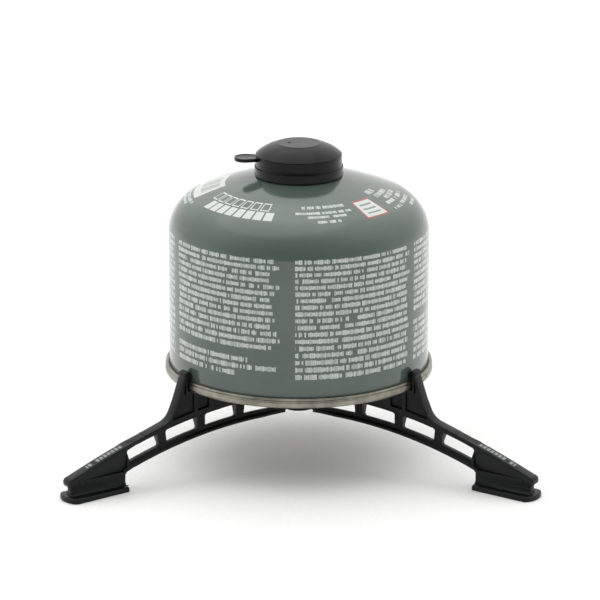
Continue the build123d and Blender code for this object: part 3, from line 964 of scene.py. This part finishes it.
@dataclass
class ValveTop:
    """Mounting cup with the threaded boss, and the valve in it; mm above the seat."""
    seat: float = 36.3
    mouth: float = 15.4
    mouth_height: float = 84.3
    wire: float = 0.9
    sheet: float = 0.6
    floor: float = 80.4
    crest: float = 5.56       # 7/16 inch thread, major radius
    root: float = 5.08
    pitch: float = 0.907      # 28 threads to the inch
    boss_foot: float = 83.6
    boss_top: float = 92.3
    bore: float = 3.1
    stem_hole: float = 2.2

    def section(self) -> list[Point]:
        """Half section of the cup and boss, as a closed chain in the stand's frame."""
        near = self.wire + 0.2
        far = near + self.sheet
        crown = (self.mouth, self.mouth_height)
        well = self.mouth - far
        chain = [(self.mouth + near, crown[1] - 1.1), (self.mouth + far, crown[1] - 1.1)]
        chain += arc(crown, far, 0, 180, 14)
        plate = self.floor + self.sheet
        chain += [(well, plate + 0.5)]
        chain += arc((well - 0.5, plate + 0.5), 0.5, 0, -90, 4)
        chain += [(8.6, plate)]
        chain += through((8.4, plate), (7.3, self.floor + 1.3), (6.9, self.boss_foot - 0.7), 6)
        root, bore, hole, floor, top = self.root, self.bore, self.stem_hole, self.floor, self.boss_top
        chain += [(6.6, self.boss_foot), (root, self.boss_foot + 0.1), (root, top - 0.6), (root - 0.35, top),
                  (hole, top), (hole - 0.4, top - 1.1), (bore, top - 1.1), (bore, floor - 1.0),
                  (4.3, floor - 1.0), (5.4, floor), (well + self.sheet, floor), (well + self.sheet, crown[1])]
        chain += arc(crown, near, 180, 0, 14)[1:]
        chain += [chain[0]]
        return [(r, h + self.seat) for r, h in chain]

    def thread(self) -> bpy.types.Object:
        """Wind the thread's ridge round the boss, and return it."""
        low = (self.boss_foot + 0.9 + self.seat) * MM
        half = 0.42 * self.pitch * MM
        flat = 0.06 * self.pitch * MM
        inner, outer = (self.root - 0.1) * MM, self.crest * MM
        ridge = Shaper.draw("thread", [Vector((inner, 0, low - half)), Vector((outer, 0, low - flat)),
                                       Vector((outer, 0, low + flat)), Vector((inner, 0, low + half)),
                                       Vector((inner, 0, low - half))])
        Shaper.settle(ridge)
        turns = int((self.boss_top - self.boss_foot - 1.9) / self.pitch)
        screw = ridge.modifiers.new("wind", "SCREW")
        screw.screw_offset = self.pitch * MM
        screw.iterations = turns
        screw.steps = 48
        screw.render_steps = 48
        Shaper.hold(ridge)
        bpy.ops.object.modifier_apply(modifier="wind")
        bpy.ops.object.mode_set(mode="EDIT")
        bpy.ops.mesh.select_all(action="DESELECT")
        bpy.ops.mesh.select_non_manifold(extend=False)
        bpy.ops.mesh.fill()
        Shaper.settle(ridge)
        return ridge

    def build(self) -> list[bpy.types.Object]:
        """Make the cup, its thread and the finishes of the parts inside it.

        Returns:
            The new pieces.
        """
        cup = Shaper.lathe("valve_cup_turned", self.section(), 96)
        Shaper.join(cup, self.thread())
        Shaper.smooth(cup, 40.0)
        bright = LacqueredTinplate("bright_tinplate", "#a8a79d", "#cfcec4", 0.2, 0.32, 0.35).make()
        dress(cup, bright, "tinplate", "canister", "valve_cup")
        acetal = SoftMoulding("acetal", "#d8d5c8", "#e4e1d6", 0.38, 1.48, 0.1).make()
        rubber = SoftMoulding("nitrile_rubber", "#131313", "#1f1f1e", 0.6, 1.52).make()
        refinish("valve_housing", acetal)
        refinish("valve_stem", acetal)
        refinish("stem_gasket", rubber)
        refinish("cup_gasket", rubber)
        refinish("stem_spring", PlatedSteel("spring_steel", "#6f7273", "#a9acac", 0.2, 0.34, 0.6).make())
        return [cup]


@dataclass
class Cap:
    """Push-on cap: a band, a conical top with a small flat, and a lift tab; mm above the seat."""
    seat: float = 36.3
    low: float = 82.4
    band: float = 18.1
    band_height: float = 3.7
    wall: float = 17.55
    edge: float = 91.2
    top: float = 95.5
    flat: float = 8.8
    bulge: Point = (13.4, 2.55)    # middle of the cone: radius, and height above the edge
    bead: float = 84.3        # height of the cup's crown, which the cap snaps over
    thickness: float = 1.1
    tab_reach: float = 26.2
    tab_half: float = 4.7
    tab_low: float = 88.2
    tab_thickness: float = 1.45
    gate: Point = (-3.9, 0.75)     # middle of the gate mark, and its radius
    gate_depth: float = 0.35

    def section(self) -> list[Point]:
        """Half section of the cap, as a closed chain in the stand's frame."""
        top, edge, wall, flat = self.top, self.edge, self.wall, self.flat
        ledge, band, inside = self.low + self.band_height, self.band, self.wall - self.thickness
        chain = [(0.0, top), (flat * 0.5, top), (flat - 0.5, top)]
        chain += through((flat - 0.35, top), (flat, top - 0.03), (flat + 0.35, top - 0.2), 4)
        swell = (self.bulge[0], edge + self.bulge[1])
        chain += through((flat + 0.5, top - 0.26), swell, (wall - 0.45, edge + 0.12), 10)
        chain += through((wall - 0.3, edge - 0.02), (wall - 0.08, edge - 0.22), (wall, edge - 0.5), 4)
        chain += [(wall, edge - 2.5), (wall, ledge + 0.25), (wall + 0.06, ledge + 0.06)]
        chain += through((band - 0.25, ledge), (band - 0.06, ledge - 0.06), (band, ledge - 0.3), 4)
        low = self.low
        chain += [(band, low + 0.3)]
        chain += through((band, low + 0.28), (band - 0.07, low + 0.07), (band - 0.3, low), 4)
        chain += [(band - 0.7, low), (band - 0.95, low + 0.3), (band - 0.95, self.bead + 1.4),
                  (inside, self.bead + 2.6), (inside, edge - 0.9)]
        roof = top - self.thickness
        chain += through((inside - 0.1, edge - 0.75), (swell[0] - 0.4, swell[1] - 1.0), (flat, roof), 8)
        chain += [(0.0, roof)]
        return [(r, h + self.seat) for r, h in chain]

    def tab(self) -> bpy.types.Object:
        """Make the lift tab: a tongue with a raised border and a grip field, and return it."""
        nose = self.tab_reach - self.tab_half
        root = self.wall - 0.5
        outline = [(-root, -self.tab_half + 0.9)]
        outline += arc((-nose, 0.0), self.tab_half, -90, -270, 24)
        outline += [(-root, self.tab_half - 0.9)]
        level = (self.seat + self.tab_low) * MM
        tongue = Shaper.draw("lift_tab", [Vector((x * MM, y * MM, level)) for x, y in outline])
        bpy.ops.mesh.select_all(action="SELECT")
        bpy.ops.mesh.edge_face_add()
        rise = (0, 0, self.tab_thickness * MM)
        bpy.ops.mesh.extrude_region_move(TRANSFORM_OT_translate={"value": rise})
        bpy.ops.mesh.inset(thickness=0.12 * MM, depth=0)
        bpy.ops.mesh.inset(thickness=0.65 * MM, depth=0)
        bpy.ops.mesh.inset(thickness=0.16 * MM, depth=-0.22 * MM)
        Shaper.settle(tongue)
        Shaper.soften(tongue, 0.12, 2, 50.0)
        return tongue

    def press_gate(self, piece: bpy.types.Object) -> None:
        """Press the round gate mark into the flat top, through a cutter that is then removed.

        Args:
            piece: the cap.
        """
        Shaper.clear()
        top = (self.seat + self.top) * MM
        bpy.ops.mesh.primitive_cylinder_add(
            vertices=24, radius=self.gate[1] * MM, depth=2 * self.gate_depth * MM,
            location=(self.gate[0] * MM, 0, top))
        cutter = bpy.context.object
        bpy.ops.object.transform_apply(location=True)
        cut = piece.modifiers.new("gate", "BOOLEAN")
        cut.operation = "DIFFERENCE"
        cut.object = cutter
        cut.solver = "EXACT"
        Shaper.hold(piece)
        bpy.ops.object.modifier_apply(modifier="gate")
        bpy.data.objects.remove(cutter)

    def build(self) -> bpy.types.Object:
        """Make the cap with its tab and gate mark.

        Returns:
            The piece.
        """
        cap = Shaper.lathe("valve_cap", self.section(), 128)
        self.press_gate(cap)
        Shaper.join(cap, self.tab())
        Shaper.smooth(cap, 32.0)
        dress(cap, MouldedPolyethylene("black_polyethylene").make(), "polyethylene", "cap_body", "cap")
        return cap


# ---- Studio -------------------------------------------------------------------------------------
@dataclass
class Studio:
    """White sweep, soft lights and the camera."""
    target: Point = (0.468, 65.1)     # across and up, mm
    distance: float = 1600.0
    elevation: float = 16.807
    heading: float = -0.85    # degrees round the axis from -Y, to the right
    lens: float = 234.2
    floor_size: float = 9.0
    front: float = 0.26       # brightness of the room behind the camera, its other walls being 1
    ceiling: float = 1.7      # brightness straight overhead

    def lay_floor(self) -> None:
        """Lay the floor, a flat square plane."""
        Shaper.clear()
        bpy.ops.mesh.primitive_plane_add(size=self.floor_size, location=(0, 0, 0))
        floor = bpy.context.object
        floor.name = "paper_sweep"
        floor.data.materials.append(StudioFloor().make())

    def light_room(self) -> None:
        """Light the room: white walls and ceiling, darker behind the camera."""
        world = bpy.data.worlds.new("white_room")
        bpy.context.scene.world = world
        world.use_nodes = True
        tree = world.node_tree
        coords = add_node(tree, "ShaderNodeTexCoord")
        split = add_node(tree, "ShaderNodeSeparateXYZ", {0: coords.outputs["Generated"]})
        around = add_node(tree, "ShaderNodeMapRange", {
            "Value": split.outputs[1], "From Min": -0.95, "From Max": 0.15,
            "To Min": self.front, "To Max": 1.0,
        }, interpolation_type="SMOOTHSTEP")
        above = add_node(tree, "ShaderNodeMapRange", {
            "Value": split.outputs[2], "From Min": 0.15, "From Max": 1.0,
            "To Min": 1.0, "To Max": self.ceiling,
        }, interpolation_type="SMOOTHSTEP")
        pair = {0: around.outputs["Result"], 1: above.outputs["Result"]}
        level = add_node(tree, "ShaderNodeMath", pair, operation="MULTIPLY")
        tree.links.new(level.outputs[0], tree.nodes["Background"].inputs["Strength"])
        tree.nodes["Background"].inputs["Color"].default_value = (1, 1, 1, 1)

    def hang_light(self, name: str, place: Vector, size: Point, power: float) -> None:
        """Hang one soft box, turned to the object.

        Args:
            name: the light's name.
            place: where it hangs, in metres.
            size: its width and height, in metres.
            power: its power in watts.
        """
        data = bpy.data.lights.new(name, "AREA")
        data.shape = "ELLIPSE"
        data.size, data.size_y = size
        data.energy = power
        lamp = bpy.data.objects.new(name, data)
        bpy.context.collection.objects.link(lamp)
        lamp.location = place
        lamp.rotation_euler = (Vector((0, 0, 0.07)) - place).to_track_quat("-Z", "Y").to_euler()

    def set_camera(self) -> None:
        """Set up the camera a little above the object, in front of it."""
        data = bpy.data.cameras.new("camera")
        data.lens = self.lens
        data.sensor_width = 36.0
        data.clip_start = 0.05
        data.clip_end = 50.0
        camera = bpy.data.objects.new("camera", data)
        bpy.context.collection.objects.link(camera)
        tilt = radians(self.elevation)
        turn = radians(self.heading)
        away = Vector((sin(turn), -cos(turn), 0)) * cos(tilt) + Vector((0, 0, sin(tilt)))
        across = Vector((cos(turn), sin(turn), 0)) * self.target[0]
        camera.location = (across + Vector((0, 0, self.target[1])) + away * self.distance) * MM
        camera.rotation_euler = (radians(90) - tilt, 0, turn)
        bpy.context.scene.camera = camera

    def build(self) -> None:
        """Set up the floor, the lights and the camera."""
        self.lay_floor()
        self.light_room()
        self.hang_light("top_box", Vector((-0.5, 0.3, 2.6)), (3.2, 3.2), 12.0)
        self.set_camera()
        bpy.context.scene.view_settings.view_transform = "Standard"


def main() -> None:
    """Build every piece and the studio."""
    logging.basicConfig(level=logging.INFO, format="%(name)s: %(message)s")
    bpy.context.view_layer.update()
    legs = [
        StandLeg("leg_rear", "stand", 90.0),
        StandLeg("leg_left", "left_leg", 213.0, True),
        StandLeg("leg_right", "right_leg", 327.0, True),
    ]
    for leg in legs:
        leg.build()
    for part in (Hub(), CanisterBody(), CanisterBase(), ValveTop(), Cap()):
        part.build()
        LOG.info("%s is done", type(part).__name__)
    Studio().build()
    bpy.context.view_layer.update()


if __name__ == "__main__":
    main()
